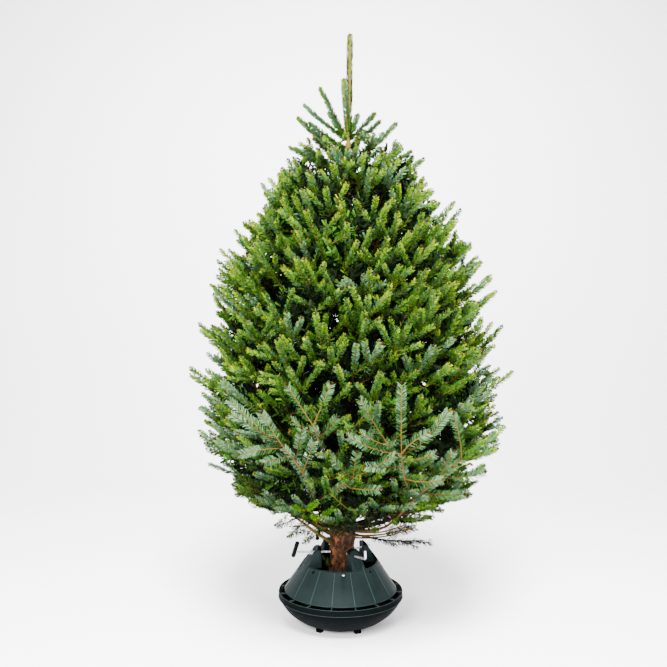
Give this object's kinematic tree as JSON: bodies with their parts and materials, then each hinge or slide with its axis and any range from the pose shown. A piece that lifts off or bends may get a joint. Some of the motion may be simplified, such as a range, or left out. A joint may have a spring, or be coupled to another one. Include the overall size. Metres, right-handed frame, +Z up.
{
  "type": "cut christmas tree in a stand",
  "caption": "Full egg-shaped cut fir for indoors, with bare lower boughs and a tall leader, clamped in a ribbed plastic water stand.",
  "frame": {"origin": "centre of the bowl's flat underside, on the floor", "axes": "+Z up along the tree, -Y to the front, +X to the right seen from the front"},
  "size_m": [1.1206, 1.1308, 2.168],
  "materials": {
    "trunk_bark": "rough flaky red-brown bark",
    "bough_bark": "smooth golden-brown young bark",
    "needles": "satin green needles, silver below",
    "dark_plastic": "dark green-grey moulded plastic",
    "cover_plastic": "dark green-grey moulded plastic, fine grain",
    "grip_plastic": "black grip",
    "steel": "bright zinc-plated steel"
  },
  "bodies": {
    "root": {"trunk": "trunk_bark", "stand_bowl": "dark_plastic", "stand_cover": "cover_plastic", "clamp_screw_back_right": "steel", "clamp_screw_back_left": "steel", "screw_grip_back_left": "grip_plastic", "clamp_screw_left": "steel", "screw_grip_left": "grip_plastic", "clamp_screw_front_right": "steel", "cover_bolt": "steel", "bough_lowest_1": "bough_bark", "foliage_lowest_1": "needles", "bough_lowest_2": "bough_bark", "foliage_lowest_2": "needles", "bough_lowest_3": "bough_bark", "foliage_lowest_3": "needles", "bough_lowest_4": "bough_bark", "foliage_lowest_4": "needles", "bough_lowest_5": "bough_bark", "foliage_lowest_5": "needles", "bough_lowest_6": "bough_bark", "foliage_lowest_6": "needles", "bough_low_1": "bough_bark", "foliage_low_1": "needles", "bough_low_2": "bough_bark", "foliage_low_2": "needles", "bough_low_3": "bough_bark", "foliage_low_3": "needles", "bough_low_4": "bough_bark", "foliage_low_4": "needles", "bough_low_5": "bough_bark", "foliage_low_5": "needles", "bough_low_6": "bough_bark", "foliage_low_6": "needles", "bough_middle_1": "bough_bark", "foliage_middle_1": "needles", "bough_middle_2": "bough_bark", "foliage_middle_2": "needles", "bough_middle_3": "bough_bark", "foliage_middle_3": "needles", "bough_middle_4": "bough_bark", "foliage_middle_4": "needles", "bough_middle_5": "bough_bark", "foliage_middle_5": "needles", "bough_middle_6": "bough_bark", "foliage_middle_6": "needles", "foliage_high_1": "needles", "foliage_high_2": "needles", "foliage_high_3": "needles", "foliage_high_4": "needles", "foliage_high_5": "needles", "foliage_upper_1": "needles", "foliage_upper_2": "needles", "foliage_upper_3": "needles", "foliage_upper_4": "needles", "foliage_top_1": "needles", "foliage_top_2": "needles", "foliage_top_3": "needles", "branch_bare": "bough_bark"}
  },
  "joints": []
}
